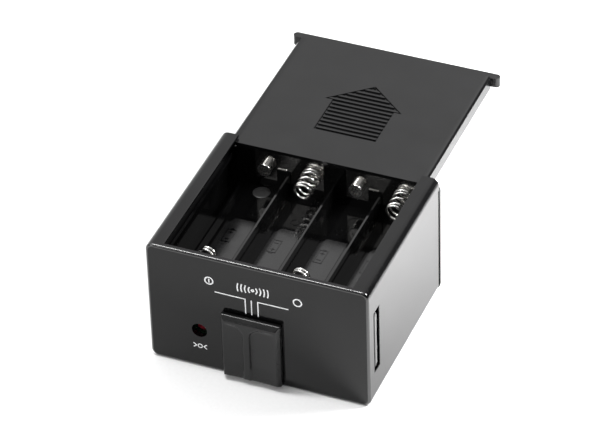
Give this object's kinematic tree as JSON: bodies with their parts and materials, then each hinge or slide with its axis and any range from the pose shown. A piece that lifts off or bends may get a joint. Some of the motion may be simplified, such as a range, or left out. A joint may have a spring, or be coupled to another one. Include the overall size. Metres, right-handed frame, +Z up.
{
  "type": "battery remote receiver box",
  "caption": "Black plastic battery receiver box with a four-cell bay, a cover that slides off the back, a three-position slide switch and a recessed learn button.",
  "frame": {"origin": "centre of the case's underside, midway between the front face and the back of the back cover", "axes": "+X to the right seen from the switch side, +Y towards the back where the battery cover slides out, +Z up towards the battery bay"},
  "size_m": [0.0724, 0.1219, 0.0436],
  "materials": {
    "case_plastic": "fine moulded texture, satin black",
    "cover_plastic": "fine moulded texture, satin black",
    "tray_plastic": "semi-gloss black",
    "clip_plastic": "satin black",
    "knob_plastic": "fine moulded texture, satin black",
    "actuator_plastic": "satin black",
    "nickel_plate": "nickel-plated spring steel",
    "spring_wire": "nickel-plated steel wire",
    "zinc_screw": "zinc-plated steel",
    "switch_steel": "tin-plated steel",
    "phenolic": "pressed phenolic board",
    "board_laminate": "solder-masked laminate",
    "module_laminate": "solder-masked laminate",
    "component_black": "moulded epoxy",
    "relay_blue": "moulded blue plastic",
    "capacitor_sleeve": "shrunk sleeve",
    "terminal_plastic": "moulded nylon",
    "connector_nylon": "natural nylon",
    "plunger_plastic": "dark red plastic",
    "antenna_copper": "enamelled copper wire",
    "lead_red": "insulated stranded wire",
    "lead_black": "insulated stranded wire"
  },
  "bodies": {
    "housing": {"case_shell": "case_plastic", "back_cover": "case_plastic", "cover_screws": "zinc_screw", "battery_tray": "tray_plastic", "contact_back_left": "nickel_plate", "contact_back_right": "nickel_plate", "contact_front_negative": "nickel_plate", "contact_front_bridge": "nickel_plate", "contact_front_positive": "nickel_plate", "spring_bay1": "spring_wire", "spring_bay2": "spring_wire", "spring_bay3": "spring_wire", "spring_bay4": "spring_wire", "wall_clip_left": "clip_plastic", "wall_clip_right": "clip_plastic", "circuit_board": "board_laminate", "board_screws": "zinc_screw", "switch_frame": "switch_steel", "switch_base": "phenolic", "learn_switch": "component_black", "learn_switch_frame": "switch_steel", "relay": "relay_blue", "buzzer": "component_black", "controller_chip": "component_black", "receiver_module": "module_laminate", "receiver_shield": "switch_steel", "antenna_wire": "antenna_copper", "crystal": "switch_steel", "capacitors": "capacitor_sleeve", "resistors": "component_black", "terminal_block": "terminal_plastic", "terminal_screws": "zinc_screw", "terminal_clamps": "nickel_plate", "battery_lead_positive": "lead_red", "battery_lead_negative": "lead_black", "lead_plug": "connector_nylon", "lead_socket": "connector_nylon"},
    "battery_cover": {"battery_cover": "cover_plastic"},
    "switch_slider": {"switch_actuator": "actuator_plastic", "switch_knob": "knob_plastic"},
    "learn_button": {"learn_plunger": "plunger_plastic"}
  },
  "joints": [
    {"name": "cover_slide", "type": "slide", "parent": "housing", "child": "battery_cover", "axis": [0, 1, 0], "range_m": [-0.0551, 0.004]},
    {"name": "switch_slide", "type": "slide", "parent": "housing", "child": "switch_slider", "axis": [1, 0, 0], "range_m": [-0.002, 0.002]},
    {"name": "learn_press", "type": "slide", "parent": "housing", "child": "learn_button", "axis": [0, 1, 0], "range_m": [0, 0.0003], "stiffness_N_per_m": 1500, "springref_m": -0.0004}
  ]
}
